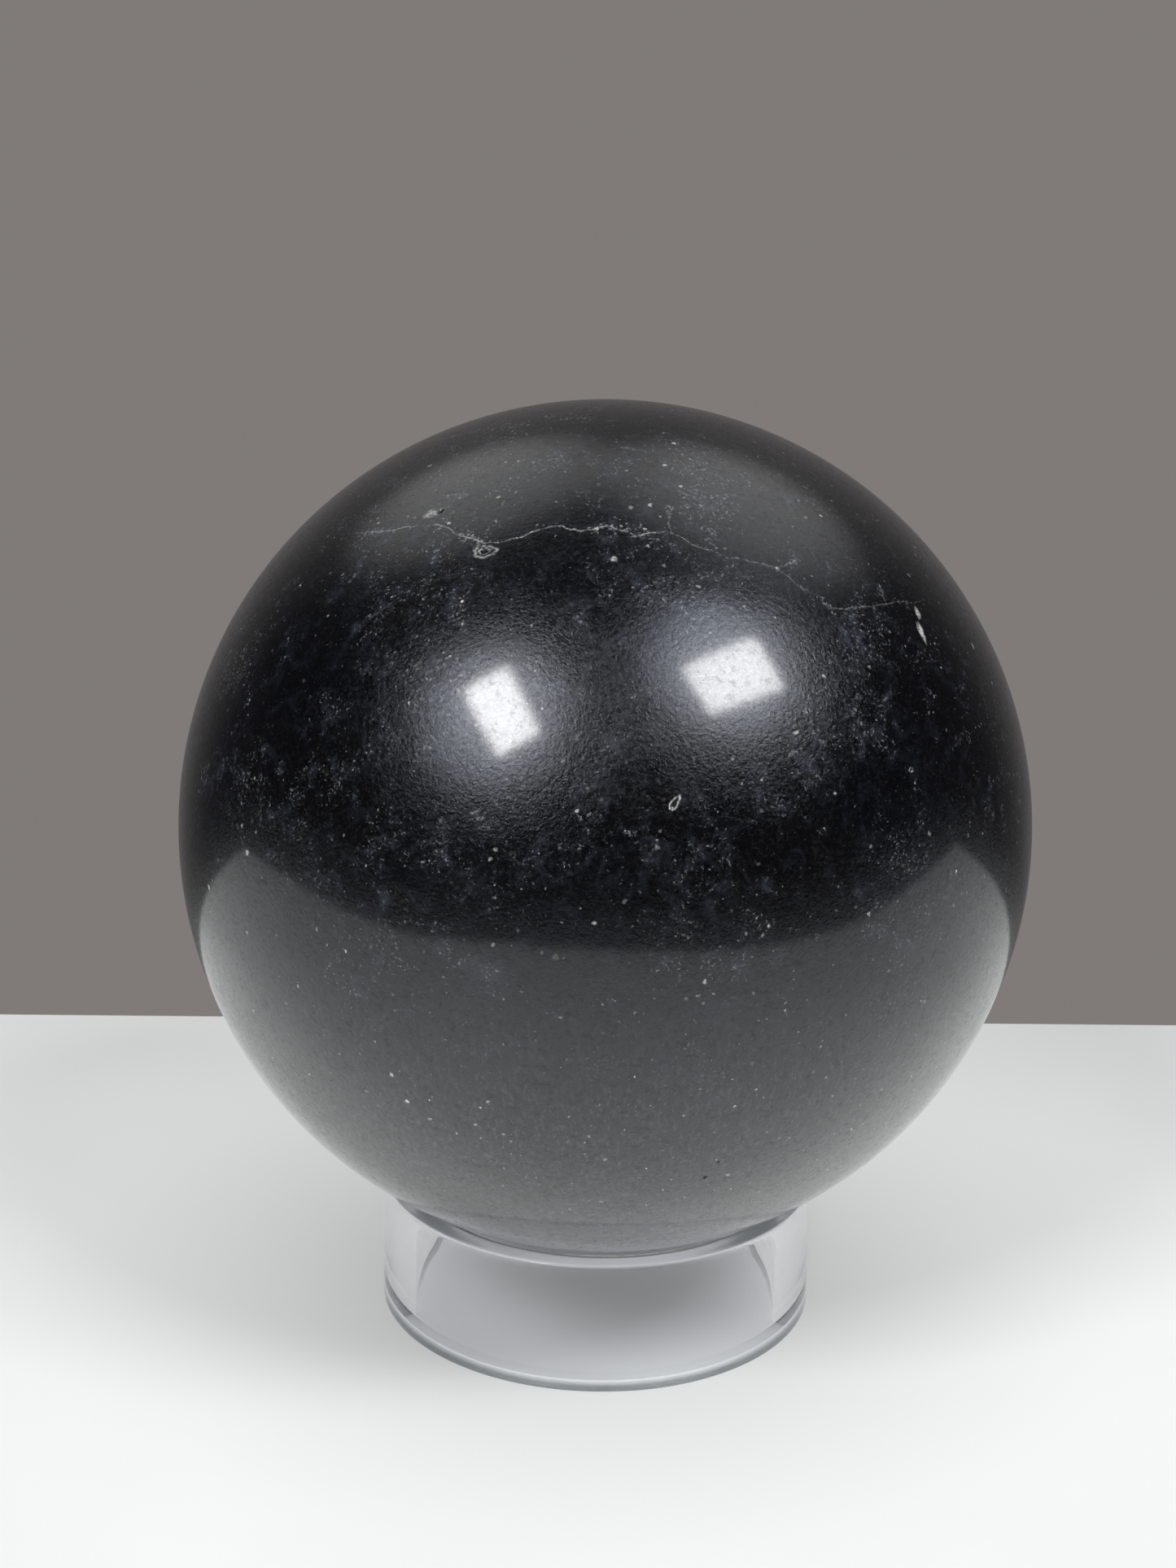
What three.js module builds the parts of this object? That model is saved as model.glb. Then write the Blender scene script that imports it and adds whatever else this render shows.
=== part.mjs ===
// A polished stone ball resting loose on a low ring of clear plastic.
// Millimetres, +Z up. The origin is the centre of the ring's footprint, on the surface that it stands on.

import * as THREE from 'three';

// Driving dimensions of the ball
const BALL_DIAMETER = 96;

// Driving dimensions of the ring
const RING_HEIGHT = 15.2;
const RING_BORE_DIAMETER = 43.8;
const RING_WALL_TOP = 3.2;
const RING_DRAFT = 0.4; // how much thicker the wall is at its foot than at its top
const SEAT_WIDTH = 0.6; // radial width of the bevel that the ball rests on
const EDGE_BREAK = 0.25; // chamfer on the ring's other three edges

// Fit between the two, measured square to the seat
const SEAT_GAP = 0.3;

// Fineness of the facets
const BALL_SEGMENTS_AROUND = 64;
const BALL_SEGMENTS_UP = 32;
const RING_SEGMENTS = 96;

// The seat bevel lies along the ball's own tangent, so its slope follows from the two diameters.
const ballRadius = BALL_DIAMETER / 2;
const boreRadius = RING_BORE_DIAMETER / 2;
const seatRadius = boreRadius + SEAT_WIDTH / 2;
const seatAngle = Math.asin(seatRadius / (ballRadius + SEAT_GAP));
const seatDrop = SEAT_WIDTH * Math.tan(seatAngle);
const ballCentreHeight = RING_HEIGHT - seatDrop / 2 + (ballRadius + SEAT_GAP) * Math.cos(seatAngle);

const blackStone = new THREE.MeshStandardMaterial({ color: 0x0b0b0d, roughness: 0.12, metalness: 0 });
const clearPlastic = new THREE.MeshStandardMaterial({
  color: 0xe9ebf2,
  roughness: 0.05,
  metalness: 0,
  transparent: true,
  opacity: 0.35,
});

function stoneBall() {
  const shape = new THREE.SphereGeometry(ballRadius, BALL_SEGMENTS_AROUND, BALL_SEGMENTS_UP);
  shape.rotateX(Math.PI / 2); // poles onto the Z axis
  const ball = new THREE.Mesh(shape, blackStone);
  ball.name = 'stone_ball';
  ball.position.z = ballCentreHeight;
  return ball;
}

// The section of the ring's wall: a straight bore, a bevelled seat, and an outside that leans in by the draft.
function ringSection() {
  const footRadius = boreRadius + RING_WALL_TOP + RING_DRAFT;
  const topRadius = boreRadius + RING_WALL_TOP;
  const lean = RING_DRAFT / RING_HEIGHT;
  const section = [
    [boreRadius + EDGE_BREAK, 0],
    [footRadius - EDGE_BREAK, 0],
    [footRadius - lean * EDGE_BREAK, EDGE_BREAK],
    [topRadius + lean * EDGE_BREAK, RING_HEIGHT - EDGE_BREAK],
    [topRadius - EDGE_BREAK, RING_HEIGHT],
    [boreRadius + SEAT_WIDTH, RING_HEIGHT],
    [boreRadius, RING_HEIGHT - seatDrop],
    [boreRadius, EDGE_BREAK],
  ];
  return section.map(([radius, height]) => new THREE.Vector2(radius, height));
}

function ringStand() {
  const section = ringSection();
  const shape = new THREE.LatheGeometry([...section, section[0].clone()], RING_SEGMENTS);
  shape.rotateX(Math.PI / 2); // the lathe turns about Y, the ring about Z
  const ring = new THREE.Mesh(shape, clearPlastic);
  ring.name = 'ring_stand';
  return ring;
}

const assembly = new THREE.Group();
assembly.add(ringStand(), stoneBall());

export default assembly;
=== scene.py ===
# A polished black stone ball resting on a low ring of clear plastic.
#
# Metres, +Z up, the CAD frame's own origin. Places on the ball are in degrees: longitude 0 faces -Y, the
# viewer, and grows towards +X; latitude grows upwards. Sizes of marks are in millimetres, and MM turns them
# into metres. Materials work in millimetres.

import math
from collections import namedtuple

import bmesh
import bpy
import numpy as np
from mathutils import Matrix, Vector


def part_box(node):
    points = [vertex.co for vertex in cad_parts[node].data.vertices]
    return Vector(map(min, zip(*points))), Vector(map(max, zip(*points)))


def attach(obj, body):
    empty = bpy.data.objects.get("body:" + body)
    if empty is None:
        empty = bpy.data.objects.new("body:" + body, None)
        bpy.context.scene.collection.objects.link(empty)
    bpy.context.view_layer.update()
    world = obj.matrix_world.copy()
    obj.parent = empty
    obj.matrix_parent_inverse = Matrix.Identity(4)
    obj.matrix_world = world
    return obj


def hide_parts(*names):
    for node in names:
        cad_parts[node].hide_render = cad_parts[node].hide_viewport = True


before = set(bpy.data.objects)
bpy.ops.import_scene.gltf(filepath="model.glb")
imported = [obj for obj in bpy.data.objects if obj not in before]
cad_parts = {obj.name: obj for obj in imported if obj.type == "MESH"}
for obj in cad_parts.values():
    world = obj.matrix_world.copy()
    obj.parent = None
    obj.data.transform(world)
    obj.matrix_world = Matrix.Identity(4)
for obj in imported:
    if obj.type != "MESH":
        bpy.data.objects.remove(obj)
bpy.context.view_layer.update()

MM = 0.001

# ---------------------------------------------------------------- sizes, from the frame

CAD_CHAMFER = 0.25 * MM  # on the ring's outer top edge
SAME_LEVEL = 0.01 * MM  # points this close to the ring's top are on its top face
SEAT_SLOPE = 0.52  # the seat's drop for its width, along the ball's own tangent

ball_low, ball_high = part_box("stone_ball")
BALL_CENTRE = np.array((ball_low + ball_high) / 2)
BALL_RADIUS = (ball_high.z - ball_low.z) / 2

ring_points = np.array([v.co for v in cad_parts["ring_stand"].data.vertices])
ring_radii = np.hypot(ring_points[:, 0], ring_points[:, 1])
RING_HEIGHT = float(ring_points[:, 2].max())
ring_top_face = ring_radii[ring_points[:, 2] > RING_HEIGHT - SAME_LEVEL]
BORE_RADIUS = float(ring_radii.min())
FOOT_RADIUS = float(ring_radii.max())
TOP_RADIUS = float(ring_top_face.max()) + CAD_CHAMFER
SEAT_OUTER_RADIUS = float(ring_top_face.min())
SEAT_DROP = (SEAT_OUTER_RADIUS - BORE_RADIUS) * SEAT_SLOPE


def smooth(low, high, value):
    """0 below low, 1 above high, and an S between them."""
    t = np.clip((value - low) / (high - low), 0, 1)
    return t * t * (3 - 2 * t)


def on_ball(longitude, latitude):
    """Unit vector from the ball's centre to a place on it, given in degrees."""
    lon, lat = np.radians(longitude), np.radians(latitude)
    return np.stack([np.sin(lon) * np.cos(lat), -np.cos(lon) * np.cos(lat), np.sin(lat)], -1)


def unit(v):
    return v / np.linalg.norm(v, axis=-1, keepdims=True)


# ---------------------------------------------------------------- the ball's veins

# The healed crack across the ball's front, and its side branches: (longitude, latitude) where each turns
MAIN_VEIN = [
    (-59, 48.6), (-51.5, 50), (-43, 52), (-37.5, 53), (-31, 51.8), (-25, 51), (-18, 52.4), (-10.5, 54.7),
    (-6.5, 54), (-1, 55), (4.5, 53.3), (11, 54.2), (16, 51.6), (22, 49.6), (30, 47.8), (33.5, 44.3),
    (36, 43.2), (36.5, 41.4), (43, 40.9), (55, 40.2), (62, 39.6),
]
SIDE_VEINS = [
    [(30, 47.8), (36, 48.7)],
    [(51, 43.2), (50, 41.8), (49.5, 40.2)],
    [(13, 58.5), (12.3, 56.5), (11.7, 54.2)],
]
# How strongly each kind shows along its course: (share of its length, strength)
MAIN_STRENGTH = [
    (0, 0.4), (0.09, 0.55), (0.11, 0.1), (0.125, 0.1), (0.14, 0.6), (0.22, 0.7), (0.3, 0.9), (0.45, 0.9),
    (0.56, 0.5), (0.64, 0.25), (0.85, 0.18), (1, 0.35),
]
SIDE_STRENGTH = [(0, 0.28), (1, 0.28)]
VEIN_HALF_WIDTH = 0.068 * MM
VEIN_DEPTH = 0.04 * MM
VEIN_WANDER = 0.32 * MM
VEIN_DUST = 0.45 * MM  # how far pale grains gather on either side


def wandering_line(places, rng):
    """Points along a vein, each span split and nudged sideways, as a crack runs."""
    points = on_ball(*np.array(places, float).T)
    for step in (VEIN_WANDER, VEIN_WANDER / 2, VEIN_WANDER / 4):
        middles = (points[:-1] + points[1:]) / 2
        along = unit(points[1:] - points[:-1])
        aside = unit(np.cross(along, middles))
        middles = middles + aside * rng.uniform(-1, 1, (len(middles), 1)) * step / BALL_RADIUS
        both = np.empty((len(points) + len(middles), 3))
        both[0::2] = points
        both[1::2] = middles
        points = unit(both)
    return points


def distance_to_line(places, line):
    """How far unit vectors are from a chain of them, in metres, and how far along it, from 0 to 1."""
    best = np.full(len(places), np.inf)
    share = np.zeros(len(places))
    for i, (a, b) in enumerate(zip(line[:-1], line[1:])):
        span = b - a
        t = np.clip((places - a) @ span / (span @ span), 0, 1)
        gap = np.linalg.norm(places - a - t[:, None] * span, axis=1)
        nearer = gap < best
        best[nearer] = gap[nearer]
        share[nearer] = (i + t[nearer]) / (len(line) - 1)
    return best * BALL_RADIUS, share


def vein_marks(places, line, strengths):
    """A vein's depth in metres, its pale mineral and dust from 0 to 1, and the distance to it."""
    gap, share = distance_to_line(places, line)
    fade = smooth(0, 0.03, share) * smooth(0, 0.05, 1 - share)
    # Its width and strength wander along its course.
    wide = VEIN_HALF_WIDTH * (0.85 + 0.4 * np.sin(share * 61) * np.sin(share * 23 + 2))
    depth = VEIN_DEPTH * (1 - smooth(0.2, 1.6, gap / wide)) * fade
    core = 1 - smooth(0.3, 1.2, gap / wide)
    strength = (0.75 + 0.25 * np.sin(share * 87 + 1)) * fade * np.interp(share, *zip(*strengths))
    dust = np.exp(-((gap / VEIN_DUST) ** 2)) * fade
    return depth, core * strength, dust, gap


# ---------------------------------------------------------------- the ball's pits and smears

# Longitude, latitude and turn in degrees; half length, half width and depth in mm; pale from 0 to 1
Spot = namedtuple("Spot", "longitude latitude half_length half_width turn depth pale")

# Pits and chips: pale is for their rims
PITS = [
    (-24, 49.8, 1.2, 0.8, 8, 0.12, 0.45),
    (-24.2, 49.9, 0.62, 0.36, 15, 0.25, 0.6),
    (-39.4, 55.0, 0.62, 0.40, 60, 0.22, 0.35),
    (7.9, 19.6, 0.78, 0.36, 55, 0.10, 1.0),
    (15, -31.2, 0.36, 0.2, 50, 0.28, 0.0),
    (16.2, -28.2, 0.22, 0.15, 30, 0.20, 0.0),
    (41.5, 20.3, 0.3, 0.22, 0, 0.06, 0.8),
]
# Pale smears, level with the surface
SMEARS = [
    (-41.2, 54.4, 1.05, 0.8, 25, 0.0, 0.5),
    (56.4, 38.3, 0.9, 0.5, 65, 0.0, 0.75),
    (54.4, 35.9, 1.4, 0.55, 78, 0.0, 0.85),
    (-49.6, 7, 0.42, 0.34, 0, 0.0, 1.0),
    (0.2, 49.8, 0.42, 0.36, 60, 0.0, 0.8),
    (24.6, 26.8, 0.42, 0.2, 5, 0.0, 1.0),
    (69, 31.4, 0.5, 0.3, 80, 0.0, 0.6),
    (30.2, 47.6, 0.34, 0.22, 60, 0.0, 1.0),
    (-35, 53.4, 0.3, 0.2, 20, 0.0, 0.9),
    (-1.4, 6, 0.28, 0.2, 0, 0.0, 0.7),
    (-16.4, -22.3, 0.3, 0.2, 30, 0.0, 0.7),
    (18.9, 5, 0.24, 0.16, 70, 0.0, 0.8),
    (28.7, 19.3, 0.25, 0.15, 10, 0.0, 0.8),
]
SCATTERED_SPOTS = 110
SCATTERED_LENGTHS = (0.08, 0.22)  # half lengths in mm
SCATTERED_SMEARS = 0.7  # the share of them that are smears; the rest are shallow pits
SHALLOW_DEPTH, SHALLOW_PALE = 0.06, 0.2
DARK_DEPTH = 0.1  # a pit at least this deep is dark inside
FAR_SIDE = 99  # the reach of places on the half of the ball away from a spot
SEED = 7


def scattered_spots(rng):
    """Small smears and shallow pits all over the ball."""
    spots = []
    for direction in unit(rng.normal(size=(SCATTERED_SPOTS, 3))):
        latitude = math.degrees(math.asin(direction[2]))
        longitude = math.degrees(math.atan2(direction[0], -direction[1]))
        length = rng.uniform(*SCATTERED_LENGTHS)
        if rng.random() < SCATTERED_SMEARS:
            depth, pale = 0.0, rng.uniform(0.3, 0.9)
        else:
            depth, pale = SHALLOW_DEPTH, SHALLOW_PALE
        width = length * rng.uniform(0.4, 0.9)
        spots.append((longitude, latitude, length, width, rng.uniform(0, 180), depth, pale))
    return spots


def spot_reach(places, spot):
    """How far out each place is in a spot's own ragged outline, 1 on its edge."""
    centre = on_ball(spot.longitude, spot.latitude)
    east = unit(np.cross(np.array([0, 0, 1.0]), centre))
    north = np.cross(centre, east)
    angle = math.radians(spot.turn)
    x = places @ east * math.cos(angle) + places @ north * math.sin(angle)
    y = places @ north * math.cos(angle) - places @ east * math.sin(angle)
    x = x * BALL_RADIUS / (spot.half_length * MM)
    y = y * BALL_RADIUS / (spot.half_width * MM)
    around = np.arctan2(y, x)
    # Three broad waves and seven small ones go round the outline, each spot with its own turn of them.
    ragged = 1 + 0.10 * np.sin(3 * around + spot.longitude) + 0.07 * np.sin(7 * around + spot.latitude)
    reach = np.hypot(x, y) / ragged
    reach[places @ centre < 0] = FAR_SIDE
    return reach


rng = np.random.default_rng(SEED)
veins = [wandering_line(course, rng) for course in [MAIN_VEIN, *SIDE_VEINS]]
vein_strengths = [MAIN_STRENGTH] + [SIDE_STRENGTH] * len(SIDE_VEINS)
all_spots = [Spot(*values) for values in PITS + SMEARS + scattered_spots(rng)]


def marks(places):
    """The ball's relief in metres; pale mineral, hollows and dust, 0 to 1; and the distance to a mark."""
    relief = np.zeros(len(places))
    pale = np.zeros(len(places))
    hollow = np.zeros(len(places))
    dust = np.zeros(len(places))
    nearest = np.full(len(places), 1.0)
    for line, strengths in zip(veins, vein_strengths):
        depth, mineral, powder, gap = vein_marks(places, line, strengths)
        relief -= depth
        pale = np.maximum(pale, mineral)
        dust = np.maximum(dust, powder)
        nearest = np.minimum(nearest, gap)
    for spot in all_spots:
        reach = spot_reach(places, spot)
        size = spot.half_width * MM
        relief -= spot.depth * MM * (1 - smooth(0.3, 1.0, reach))
        if spot.depth > 0:
            inside = 1 - smooth(0.45, 0.85, reach)
            hollow = np.maximum(hollow, inside * min(1, spot.depth / DARK_DEPTH))
            pale = pale * smooth(0.3, 0.6, reach)
            mineral = smooth(0.72, 0.86, reach) * (1 - smooth(0.98, 1.14, reach))
        else:
            mineral = 1 - smooth(0.35, 1.05, reach)
        pale = np.maximum(pale, mineral * spot.pale)
        nearest = np.minimum(nearest, np.maximum(reach - 1.1, 0) * size)
    return relief, pale, hollow, dust, nearest


# ---------------------------------------------------------------- mesh helpers


def new_object(name, mesh, materials):
    piece = bpy.data.objects.new(name, mesh)
    bpy.context.scene.collection.objects.link(piece)
    for material in materials:
        mesh.materials.append(material)
    return piece


def finished_mesh(bm, name):
    mesh = bpy.data.meshes.new(name)
    bm.to_mesh(mesh)
    bm.free()
    return mesh


def store(mesh, name, values):
    attribute = mesh.attributes.new(name, "FLOAT", "POINT")
    attribute.data.foreach_set("value", values.astype(np.float32))


# ---------------------------------------------------------------- the ball

BALL_SUBDIVISIONS = 7
REFINED_BANDS = (1.4 * MM, 0.7 * MM, 0.35 * MM)  # the mesh is halved again within each distance of a mark
CLEAR_RELIEF = 0.004 * MM  # relief from which the surface shades by its own shape


def directions(bm):
    """Unit vectors to the points of a ball about the origin."""
    return unit(np.array([v.co for v in bm.verts], float))


def refine_near_marks(bm):
    for band in REFINED_BANDS:
        near = marks(directions(bm))[-1] < band
        bm.verts.index_update()
        edges = [e for e in bm.edges if near[e.verts[0].index] and near[e.verts[1].index]]
        bmesh.ops.subdivide_edges(bm, edges=edges, cuts=1, use_grid_fill=True)
        bmesh.ops.triangulate(bm, faces=[f for f in bm.faces if len(f.verts) > 3])
        for v in bm.verts:
            v.co.normalize()


def ball_mesh():
    bm = bmesh.new()
    bmesh.ops.create_icosphere(bm, subdivisions=BALL_SUBDIVISIONS, radius=1)
    refine_near_marks(bm)
    places = directions(bm)
    relief, pale, hollow, dust, _ = marks(places)
    radii = BALL_RADIUS + relief
    for v, point in zip(bm.verts, BALL_CENTRE + places * radii[:, None]):
        v.co = point
    mesh = finished_mesh(bm, "polished_ball")
    store(mesh, "pale", pale)
    store(mesh, "hollow", hollow)
    store(mesh, "dust", dust)
    mesh.shade_smooth()
    # Away from the marks the shading normal is the sphere's own, so that reflections stay clean.
    own = np.empty(len(mesh.vertices) * 3, np.float32)
    mesh.vertex_normals.foreach_get("vector", own)
    share = smooth(0, CLEAR_RELIEF, np.abs(relief))[:, None]
    mesh.normals_split_custom_set_from_vertices(unit(places * (1 - share) + own.reshape(-1, 3) * share))
    return mesh


# ---------------------------------------------------------------- the ring

RING_STEPS = 360
WALL_LEVELS = 9
EDGE_ROUND = 0.22 * MM
CLEAR_WALL, CUT_FACE, SAWN_FOOT = 0, 1, 2  # the ring's material slots
# Where the seat's edge is worn down: (start, end in degrees round the ring from -Y, depth in mm)
WORN_SPANS = [(-40, -9, 0.30), (32, 54, 0.26), (150, 172, 0.15)]
WEAR_GROWS, WEAR_STOPS = 12, 2.5  # degrees over which the wear begins and ends
# Nicks in it: (place in degrees, depth in mm)
NICKS = [
    (-118, 0.12), (-6, 0.10), (1, 0.06), (7, 0.12), (12, 0.07), (19, 0.10), (26, 0.08), (97, 0.10),
    (201, 0.08),
]
NICK_WIDTH = 0.8  # degrees
WEAR_ACROSS = 1.1 * MM  # how far the wear reaches from the bore, and down from the ring's top
WEAR_DOWN = 1.5 * MM


def arc(centre, radius, start, end, steps=4):
    """Points of a profile's rounded corner: (radius from the axis, height)."""
    angles = np.radians(np.linspace(start, end, steps + 1))
    return [(centre[0] + radius * math.cos(a), centre[1] + radius * math.sin(a)) for a in angles]


def ring_profile():
    """The wall's section, anticlockwise from the foot's inner edge, and the material slot of each point."""
    r = EDGE_ROUND
    lean = (FOOT_RADIUS - TOP_RADIUS) / RING_HEIGHT
    wall_levels = np.linspace(r, RING_HEIGHT - r, WALL_LEVELS)[1:-1]
    foot_width = FOOT_RADIUS - BORE_RADIUS
    seat_width = SEAT_OUTER_RADIUS - BORE_RADIUS
    top_width = TOP_RADIUS - r - SEAT_OUTER_RADIUS
    points, slots = [], []

    def add(new, slot):
        points.extend(new)
        slots.extend([slot] * len(new))

    add(arc((BORE_RADIUS + r, r), r, 180, 270), SAWN_FOOT)
    add([(BORE_RADIUS + s * foot_width, 0.0) for s in (0.25, 0.5, 0.75)], SAWN_FOOT)
    add(arc((FOOT_RADIUS - r, r), r, 270, 360), SAWN_FOOT)
    add([(FOOT_RADIUS - lean * z, z) for z in wall_levels], CLEAR_WALL)
    add(arc((TOP_RADIUS - r, RING_HEIGHT - r), r, 0, 90), CUT_FACE)
    add([(SEAT_OUTER_RADIUS + s * top_width, RING_HEIGHT) for s in (0.8, 0.6, 0.4, 0.2, 0)], CUT_FACE)
    seat = [(BORE_RADIUS + s * seat_width, RING_HEIGHT - SEAT_DROP * (1 - s)) for s in (0.66, 0.33, 0)]
    add(seat, CLEAR_WALL)
    add([(BORE_RADIUS, z) for z in wall_levels[::-1]], CLEAR_WALL)
    return points, slots


def seat_wear(degrees):
    """How deep the seat's edge is worn or nicked at each angle round the ring, 0 facing -Y, in metres."""
    wear = np.zeros_like(degrees)
    for start, end, depth in WORN_SPANS:
        begun = smooth(start, start + WEAR_GROWS, degrees)
        ended = smooth(end - WEAR_STOPS, end, degrees)
        wear = np.maximum(wear, depth * begun * (1 - ended))
    for place, depth in NICKS:
        wear = np.maximum(wear, depth * np.exp(-(((degrees - place) / NICK_WIDTH) ** 2)))
    return wear * MM


def ring_point(angle, radius, height, worn):
    """A point of the ring, let down by the wear where it is near the seat."""
    across = max(0.0, 1 - abs(radius - BORE_RADIUS) / WEAR_ACROSS)
    down = max(0.0, 1 - (RING_HEIGHT - height) / WEAR_DOWN)
    return math.sin(angle) * radius, -math.cos(angle) * radius, height - worn * (across * down)


def ring_mesh():
    profile, slots = ring_profile()
    degrees = np.linspace(-180, 180, RING_STEPS, endpoint=False)
    wear = seat_wear(degrees) + seat_wear(degrees + 360)
    count = len(profile)
    bm = bmesh.new()
    loops = []
    for angle, worn in zip(np.radians(degrees), wear):
        loops.append([bm.verts.new(ring_point(angle, radius, height, worn)) for radius, height in profile])
    for i, loop in enumerate(loops):
        after = loops[(i + 1) % RING_STEPS]
        for j in range(count):
            k = (j + 1) % count
            face = bm.faces.new((loop[j], after[j], after[k], loop[k]))
            face.material_index = slots[j] if slots[j] == slots[k] else CLEAR_WALL
            face.smooth = True
    bmesh.ops.recalc_face_normals(bm, faces=bm.faces)
    return finished_mesh(bm, "clear_ring")


# ---------------------------------------------------------------- node trees


class Nodes:
    """A short way to write the node tree of a material or a world."""

    def __init__(self, owner, output="ShaderNodeOutputMaterial"):
        owner.use_nodes = True
        self.owner = owner
        self.tree = owner.node_tree
        self.tree.nodes.clear()
        self.output = self.tree.nodes.new(output)

    def put(self, socket, value):
        """Link another node's socket, or set a constant."""
        if isinstance(value, bpy.types.NodeSocket):
            self.tree.links.new(value, socket)
        elif socket.type == "RGBA" and len(value) == 3:
            socket.default_value = (*value, 1)
        else:
            socket.default_value = value

    def node(self, kind, settings=None, **inputs):
        node = self.tree.nodes.new(kind)
        for name, value in (settings or {}).items():
            setattr(node, name, value)
        for name, value in inputs.items():
            self.put(node.inputs[name.replace("_", " ")], value)
        return node

    def math(self, operation, *values):
        made = self.node("ShaderNodeMath", {"operation": operation})
        for socket, value in zip(made.inputs, values):
            self.put(socket, value)
        return made.outputs[0]

    def product(self, first, second):
        return self.math("MULTIPLY", first, second)

    def vector(self, operation, *values, result="Vector"):
        made = self.node("ShaderNodeVectorMath", {"operation": operation})
        for socket, value in zip(made.inputs, values):
            self.put(socket, value)
        return made.outputs[result]

    def scaled(self, vector, share):
        made = self.node("ShaderNodeVectorMath", {"operation": "SCALE"}, Scale=share)
        self.put(made.inputs["Vector"], vector)
        return made.outputs["Vector"]

    def place(self):
        """The surface's own place in millimetres."""
        return self.scaled(self.node("ShaderNodeTexCoord").outputs["Object"], 1 / MM)

    def noise(self, vector, size, detail=2.0, rough=0.5, distortion=0.0):
        """Noise whose lumps are about size across."""
        made = self.node("ShaderNodeTexNoise", Vector=vector, Scale=1 / size, Detail=detail,
                         Roughness=rough, Distortion=distortion)
        return made.outputs["Fac"]

    def remap(self, value, low, high, to_low=0.0, to_high=1.0):
        made = self.node("ShaderNodeMapRange", {"interpolation_type": "SMOOTHSTEP"}, Value=value,
                         From_Min=low, From_Max=high, To_Min=to_low, To_Max=to_high)
        return made.outputs["Result"]

    def mix(self, share, a, b):
        made = self.node("ShaderNodeMix", {"data_type": "RGBA"})
        self.put(made.inputs["Factor"], share)
        self.put(made.inputs[6], a)
        self.put(made.inputs[7], b)
        return made.outputs[2]

    def bump(self, height, distance, strength=1.0):
        made = self.node("ShaderNodeBump", Height=height, Distance=distance, Strength=strength)
        return made.outputs["Normal"]

    def attribute(self, name):
        return self.node("ShaderNodeAttribute", {"attribute_name": name}).outputs["Fac"]

    def mix_shader(self, share, a, b):
        made = self.node("ShaderNodeMixShader")
        for socket, value in zip(made.inputs, (share, a, b)):
            self.put(socket, value)
        return made.outputs["Shader"]

    def finish(self, surface):
        self.put(self.output.inputs["Surface"], surface)
        return self.owner


# ---------------------------------------------------------------- the stone

# Heights above the table, in mm, between which the stone's look changes
HAZE_GROWS = (35, 72)
# Below these heights the finer grains are painted lighter: painted light for the less lit underside
STREAKS_AND_PAINTED_LIGHT_FADE = (30, 60)

WARM_BLACK, COOL_BLACK = (0.0017, 0.0015, 0.0015), (0.0013, 0.0014, 0.0021)
SMOKE = (0.0180, 0.0215, 0.0310)
POWDER = (0.15, 0.155, 0.165)
SCRATCH = (0.055, 0.058, 0.068)
STREAK = (0.06, 0.061, 0.062)
LARGE_GRAIN = (0.50, 0.48, 0.42)
HOLLOW = (0.003, 0.003, 0.003)
DARK_MINERAL, PALE_MINERAL = (0.06, 0.06, 0.06), (0.50, 0.50, 0.48)
# The two finer grains: size of cell in mm, share of cells kept, reach in the cell, how much of them shows
# between the clumps, and colour in the upper and the lower half; the lower half's colour is painted light,
# lighter to make up for the less light that reaches the underside
FINE_GRAINS = [
    (0.8, 0.36, 0.20, 0.4, (0.32, 0.325, 0.33), (0.75, 0.75, 0.74)),
    (1.6, 0.50, 0.17, 0.3, (0.46, 0.46, 0.44), (0.80, 0.80, 0.78)),
]


def grains(n, place, size, kept, reach):
    """Irregular grains, each of its own size and shade, in the kept share of cells about size mm across."""
    cell = n.node("ShaderNodeTexVoronoi", Vector=place, Scale=1 / size)
    own = n.node("ShaderNodeSeparateColor", Color=cell.outputs["Color"])
    own_reach = n.remap(own.outputs["Blue"], 0, 1, reach * 0.3, reach)
    grain = n.remap(n.math("SUBTRACT", own_reach, cell.outputs["Distance"]), 0.0, reach * 0.4)
    shown = n.product(grain, n.math("LESS_THAN", own.outputs["Red"], kept))
    return n.product(shown, own.outputs["Green"])


def hazy_stone(n, place, ragged, crowd, height):
    """The stone's dark body, with smoke, powder and short scratches in clumps, most in the upper half."""
    gather = n.product(crowd, n.remap(height, *HAZE_GROWS, 0.3, 1.0))
    dark = n.mix(n.remap(n.noise(place, 30, 2.0), 0.4, 0.6), WARM_BLACK, COOL_BLACK)
    smoke = n.remap(n.noise(place, 2.4, 6.0, 0.66, 1.0), 0.47, 0.70)
    smoky = n.mix(n.product(smoke, n.remap(gather, 0, 1, 0.3, 1.0)), dark, SMOKE)

    lift = n.math("ADD", n.product(gather, 0.10), n.product(n.attribute("dust"), 0.07))
    powder = n.remap(n.math("ADD", n.noise(ragged, 0.34, 4.0, 0.7), lift), 0.64, 0.77)
    powdered = n.mix(powder, smoky, POWDER)

    slant = n.node("ShaderNodeVectorRotate", {"rotation_type": "EULER_XYZ"}, Vector=place,
                   Rotation=(0.3, 0.6, 0.2))
    drawn = n.vector("MULTIPLY", slant.outputs["Vector"], (0.16, 3.4, 3.4))
    scratches = n.remap(n.noise(drawn, 1.0, 2.0, 0.5), 0.64, 0.74)
    return n.mix(n.product(scratches, n.product(gather, 0.5)), powdered, SCRATCH)


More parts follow.
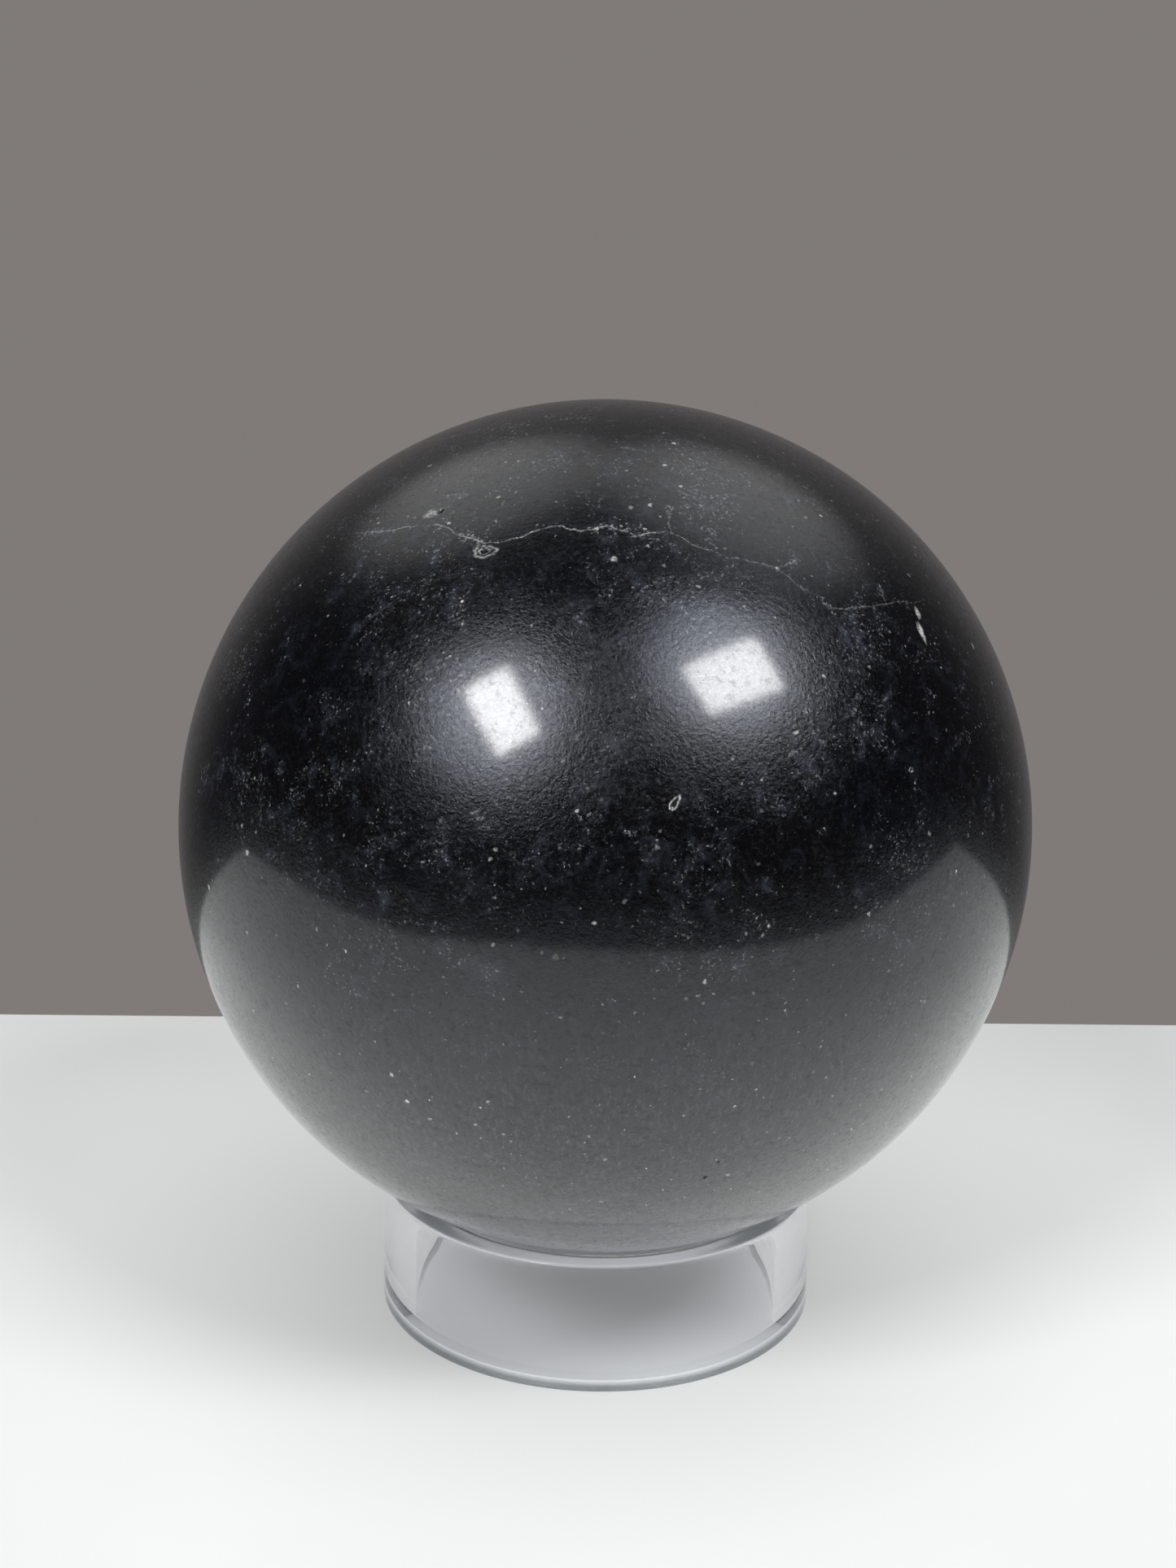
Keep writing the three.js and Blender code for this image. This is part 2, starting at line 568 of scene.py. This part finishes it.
def speckled_stone(n, ragged, crowd, lower, colour):
    """Upright streaks in the lower half, and three sizes of grain, the two finer ones painted lighter in the
    lower half as painted light.
    """
    streaks = n.remap(n.noise(n.vector("MULTIPLY", ragged, (2.4, 2.4, 0.6)), 1.0, 3.0, 0.6), 0.48, 0.72)
    colour = n.mix(n.product(streaks, n.product(lower, 0.9)), colour, STREAK)
    for size, kept, reach, least, upper_colour, painted_lit_lower_colour in FINE_GRAINS:
        share = n.product(grains(n, ragged, size, kept, reach), n.remap(crowd, 0, 1, least, 1.0))
        # Painted light: in the lower half the grains take their lighter colour
        colour = n.mix(share, colour, n.mix(lower, upper_colour, painted_lit_lower_colour))
    return n.mix(grains(n, ragged, 6.0, 0.30, 0.07), colour, LARGE_GRAIN)


def black_stone():
    """Near-black stone under a glossy coat, which is missing in its pits and thin where it is worn."""
    n = Nodes(bpy.data.materials.new("black_stone"))
    place = n.place()
    bend = n.node("ShaderNodeTexNoise", Vector=place, Scale=2.4, Detail=3.0)
    ragged = n.vector("MULTIPLY_ADD", bend.outputs["Color"], (0.55, 0.55, 0.55), place)
    height = n.node("ShaderNodeSeparateXYZ", Vector=place).outputs["Z"]
    lower = n.remap(height, *STREAKS_AND_PAINTED_LIGHT_FADE, 1.0, 0.0)
    clumps = n.noise(place, 3.2, 4.0, 0.6, 0.8)
    crowd = n.remap(n.math("ADD", n.noise(place, 13, 3.0, 0.6, 0.6), clumps), 0.92, 1.20)
    pale = n.attribute("pale")
    hollow = n.attribute("hollow")

    colour = hazy_stone(n, place, ragged, crowd, height)
    colour = speckled_stone(n, ragged, crowd, lower, colour)
    colour = n.mix(hollow, colour, HOLLOW)
    crumbs = n.remap(n.noise(place, 0.33, 4.0, 0.65), 0.36, 0.58)
    colour = n.mix(pale, colour, n.mix(crumbs, DARK_MINERAL, PALE_MINERAL))

    scuffs = n.math("MULTIPLY_ADD", clumps, 0.5, n.noise(place, 0.5, 4.0, 0.7))
    unpolished = n.math("MAXIMUM", hollow, n.product(pale, 0.8))
    roughness = n.math("MAXIMUM", n.remap(scuffs, 0.60, 0.95, 0.14, 0.34), unpolished)
    worn = n.remap(n.noise(place, 0.8, 4.0, 0.7, 0.5), 0.50, 0.68, 0.0, 0.35)
    polish = n.math("SUBTRACT", 1.0, n.math("MAXIMUM", unpolished, worn))
    # Under the coat the stone scatters light by its fine grain, and the coat itself is nearly smooth.
    grain = n.bump(n.noise(place, 0.45, 4.0, 0.7), 0.09 * MM, 0.75)
    skin = n.bump(n.noise(place, 0.7, 3.0, 0.6), 0.002 * MM, 0.6)

    shader = n.node("ShaderNodeBsdfPrincipled", Base_Color=colour, Roughness=roughness, Normal=grain,
                    IOR=1.5, Specular_Tint=(0.90, 0.94, 1.0), Coat_Weight=polish, Coat_Normal=skin,
                    Coat_Roughness=0.11, Coat_IOR=1.48)
    return n.finish(shader.outputs["BSDF"])


# ---------------------------------------------------------------- the clear plastic and the table

SHADED_RIM_WIDTH = 3.6 * MM  # how far the painted shade on a foot's outer edge reaches in
MIRRORED_ENOUGH = 2.5  # a ray that was mirrored more times than this goes straight through the plastic
PASSED_ON = (0.90, 0.905, 0.92)  # the share of the light that comes out of it again


def clear_plastic(name, colour, roughness, grain, depth, milk=0.0, painted_shade_colour=None):
    """Clear acrylic, cloudy by the share milk, and darkened on its outer edge by a painted shade in the
    given colour.

    Its grain is a noise stretched by three factors and depth mm deep. Light for matt surfaces, shadows and
    rays that were mirrored often enough go straight through it.
    """
    n = Nodes(bpy.data.materials.new(name))
    place = n.place()
    # Painted shade: the colour darkens towards the outer edge, where real plastic shows the shaded table
    # beneath it
    if painted_shade_colour:
        radius = n.vector("LENGTH", n.vector("MULTIPLY", place, (1, 1, 0)), result="Value")
        inner, outer = FOOT_RADIUS - SHADED_RIM_WIDTH, FOOT_RADIUS - SHADED_RIM_WIDTH / 2
        colour = n.mix(n.remap(radius, inner / MM, outer / MM), colour, painted_shade_colour)
    texture = n.noise(n.vector("MULTIPLY", place, grain), 1.0, 3.0, 0.6)
    shader = n.node("ShaderNodeBsdfPrincipled", Base_Color=colour, Normal=n.bump(texture, depth * MM, 0.5),
                    Roughness=n.remap(texture, 0.3, 0.7, roughness * 0.7, roughness * 1.4),
                    IOR=1.49, Transmission_Weight=1.0 - milk)
    clear = n.node("ShaderNodeBsdfTransparent", Color=PASSED_ON).outputs["BSDF"]
    ray = n.node("ShaderNodeLightPath")
    spent = n.math("GREATER_THAN", ray.outputs["Glossy Depth"], MIRRORED_ENOUGH)
    surface = shader.outputs["BSDF"]
    for kind in (spent, ray.outputs["Is Diffuse Ray"], ray.outputs["Is Shadow Ray"]):
        surface = n.mix_shader(kind, surface, clear)
    return n.finish(surface)


# The table's pale colour with a painted pool of light: painted brighter near the ring and darker further out
FAR_TABLE_PAINTED_DIM, NEAR_TABLE_PAINTED_LIT = (0.56, 0.57, 0.565), (0.80, 0.81, 0.80)
PAINTED_LIGHT_FALLOFF = (40, 160)  # between these distances from the ring's middle, in mm, the table's painted light falls off


def pale_surface():
    n = Nodes(bpy.data.materials.new("pale_floor"))
    place = n.place()
    # Painted light: 1 near the ring, falling to 0 further out
    middle = n.remap(n.vector("LENGTH", place, result="Value"), *PAINTED_LIGHT_FALLOFF, 1.0, 0.0)
    uneven = n.remap(n.noise(place, 60, 3.0), 0.35, 0.65, 0.0, 0.1)
    colour = n.mix(n.math("ADD", middle, uneven), FAR_TABLE_PAINTED_DIM, NEAR_TABLE_PAINTED_LIT)
    shader = n.node("ShaderNodeBsdfPrincipled", Base_Color=colour, Roughness=0.55)
    return n.finish(shader.outputs["BSDF"])


# ---------------------------------------------------------------- the stage

TABLE_EDGE = [  # the table top's outline, in metres
    (-0.40, 0.074), (-0.375, -0.05), (-0.29, -0.125), (-0.18, -0.20), (-0.11, -0.265), (-0.02, -0.285),
    (0.08, -0.262), (0.23, -0.17), (0.50, -0.045), (0.70, 0.103),
]
TABLE_THICKNESS = 0.02
FOOT_AIR = 0.02 * MM  # left under the ring, so that its foot mirrors from inside as real plastic does


def table_top():
    """A pale table top with a round front and a straight back, on which the object stands."""
    bm = bmesh.new()
    top = bm.faces.new([bm.verts.new((x, y, -FOOT_AIR)) for x, y in TABLE_EDGE])
    walls = bmesh.ops.extrude_face_region(bm, geom=[top])
    lower = [v for v in walls["geom"] if isinstance(v, bmesh.types.BMVert)]
    bmesh.ops.translate(bm, vec=(0, 0, -TABLE_THICKNESS), verts=lower)
    bmesh.ops.recalc_face_normals(bm, faces=bm.faces)
    table = new_object("table_top", finished_mesh(bm, "table_top"), [pale_surface()])


LAMP_DISTANCE = 1.5  # metres from the ball's centre
# Soft glows mirrored in the ball, two behind it and one round each lamp: azimuth from +Y, height, the two
# angles from its middle where it fades out and where it is full, all in degrees, and the colour that it adds
GLOWS = [
    (-34, 50, 26, 3, (0.75, 0.75, 0.75)),
    (38, 55, 28, 3, (0.80, 0.80, 0.80)),
    (-141, 40, 22, 3, (1.4, 1.5, 1.8)),
    (133, 53, 22, 3, (1.65, 1.8, 2.15)),
]
BACKDROP = (0.215, 0.198, 0.187)
FILL = (0.74, 0.75, 0.76)
ROOM_AHEAD = (0.016, 0.016, 0.020)
ROOM_BEHIND = (0.110, 0.103, 0.098)
BEHIND = (0, 1, 0)
BEHIND_FAINT = 0.5  # cosine of the angle from BEHIND at which the room's light has faded out


def toward(azimuth, height):
    """Unit vector at an azimuth from +Y towards +X and a height above the level, in degrees."""
    a, e = math.radians(azimuth), math.radians(height)
    return Vector((math.sin(a) * math.cos(e), math.cos(a) * math.cos(e), math.sin(e)))


def softbox(name, azimuth, height, size, turn, radiance):
    """A flat lamp that faces the ball. Its strength is worked out from its radiance."""
    lamp = bpy.data.lights.new(name, "AREA")
    lamp.shape = "RECTANGLE"
    lamp.size, lamp.size_y = size
    lamp.energy = radiance * math.pi * size[0] * size[1]
    holder = bpy.data.objects.new(name, lamp)
    bpy.context.scene.collection.objects.link(holder)
    away = toward(azimuth, height)
    facing = away.to_track_quat("Z", "Y").to_matrix().to_4x4()
    turned = facing @ Matrix.Rotation(math.radians(turn), 4, "Z")
    holder.matrix_world = Matrix.Translation(Vector(BALL_CENTRE) + away * LAMP_DISTANCE) @ turned


def glow(n, look, direction, faint, full, colour):
    """A colour that grows as a ray turns towards a direction, from none to all between two cosines."""
    cosine = n.vector("DOT_PRODUCT", look, direction, result="Value")
    return n.scaled(colour, n.remap(cosine, faint, full))


def room():
    """Beyond the table: a plain taupe backdrop, soft fill on matt surfaces, a dark room in reflections."""
    n = Nodes(bpy.data.worlds.new("room"), "ShaderNodeOutputWorld")
    look = n.node("ShaderNodeTexCoord").outputs["Generated"]
    mirrored = n.vector("ADD", ROOM_AHEAD, glow(n, look, BEHIND, BEHIND_FAINT, 1.0, ROOM_BEHIND))
    for azimuth, height, outer, inner, colour in GLOWS:
        faint, full = math.cos(math.radians(outer)), math.cos(math.radians(inner))
        mirrored = n.vector("ADD", mirrored, glow(n, look, toward(azimuth, height), faint, full, colour))

    path = n.node("ShaderNodeLightPath")
    surface = n.node("ShaderNodeBackground", Color=BACKDROP).outputs["Background"]
    for kind, colour in (("Is Diffuse Ray", FILL), ("Is Glossy Ray", mirrored)):
        light = n.node("ShaderNodeBackground", Color=colour).outputs["Background"]
        surface = n.mix_shader(path.outputs[kind], surface, light)
    bpy.context.scene.world = n.finish(surface)


# ---------------------------------------------------------------- the camera

CAMERA_PLACE = (-0.0020, -0.2577, 0.1376)
CAMERA_PITCH = 16.2  # degrees below level
CAMERA_ROLL = 1.1
FOCAL_PER_HEIGHT = 1.505  # focal length as a share of the picture's height
SENSOR = 36.0


def camera():
    lens = bpy.data.cameras.new("camera")
    lens.sensor_width = SENSOR
    lens.lens = FOCAL_PER_HEIGHT * SENSOR
    lens.clip_start = 0.01
    lens.clip_end = 20
    holder = bpy.data.objects.new("camera", lens)
    bpy.context.scene.collection.objects.link(holder)
    pitch = Matrix.Rotation(math.radians(90 - CAMERA_PITCH), 4, "X")
    roll = Matrix.Rotation(math.radians(CAMERA_ROLL), 4, "Z")
    holder.matrix_world = Matrix.Translation(CAMERA_PLACE) @ (pitch @ roll)
    bpy.context.scene.camera = holder


# ---------------------------------------------------------------- put it together

camera()
softbox("softbox_left", azimuth=-144.6, height=41.5, size=(0.52, 0.31), turn=-42, radiance=19.5)
softbox("softbox_right", azimuth=132.2, height=48.9, size=(0.565, 0.35), turn=-1, radiance=16)
room()
table_top()

ball = new_object("polished_ball", ball_mesh(), [black_stone()])
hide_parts("stone_ball")
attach(ball, "ball")

ring_materials = [
    clear_plastic("clear_wall", (0.985, 0.988, 0.995), roughness=0.02, grain=(0.6, 0.6, 0.08), depth=0.003),
    clear_plastic("cut_face", (0.975, 0.975, 1.0), roughness=0.18, grain=(0.5, 0.5, 0.5), depth=0.003,
                  milk=0.3),
    # The foot's dark outer edge is painted shade
    clear_plastic("sawn_foot", (0.72, 0.735, 0.75), roughness=0.45, grain=(0.5, 0.5, 0.5), depth=0.01,
                  milk=0.75, painted_shade_colour=(0.25, 0.28, 0.285)),
]
ring = new_object("clear_ring", ring_mesh(), ring_materials)
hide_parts("ring_stand")
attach(ring, "stand")

bpy.context.scene.view_settings.view_transform = "Standard"
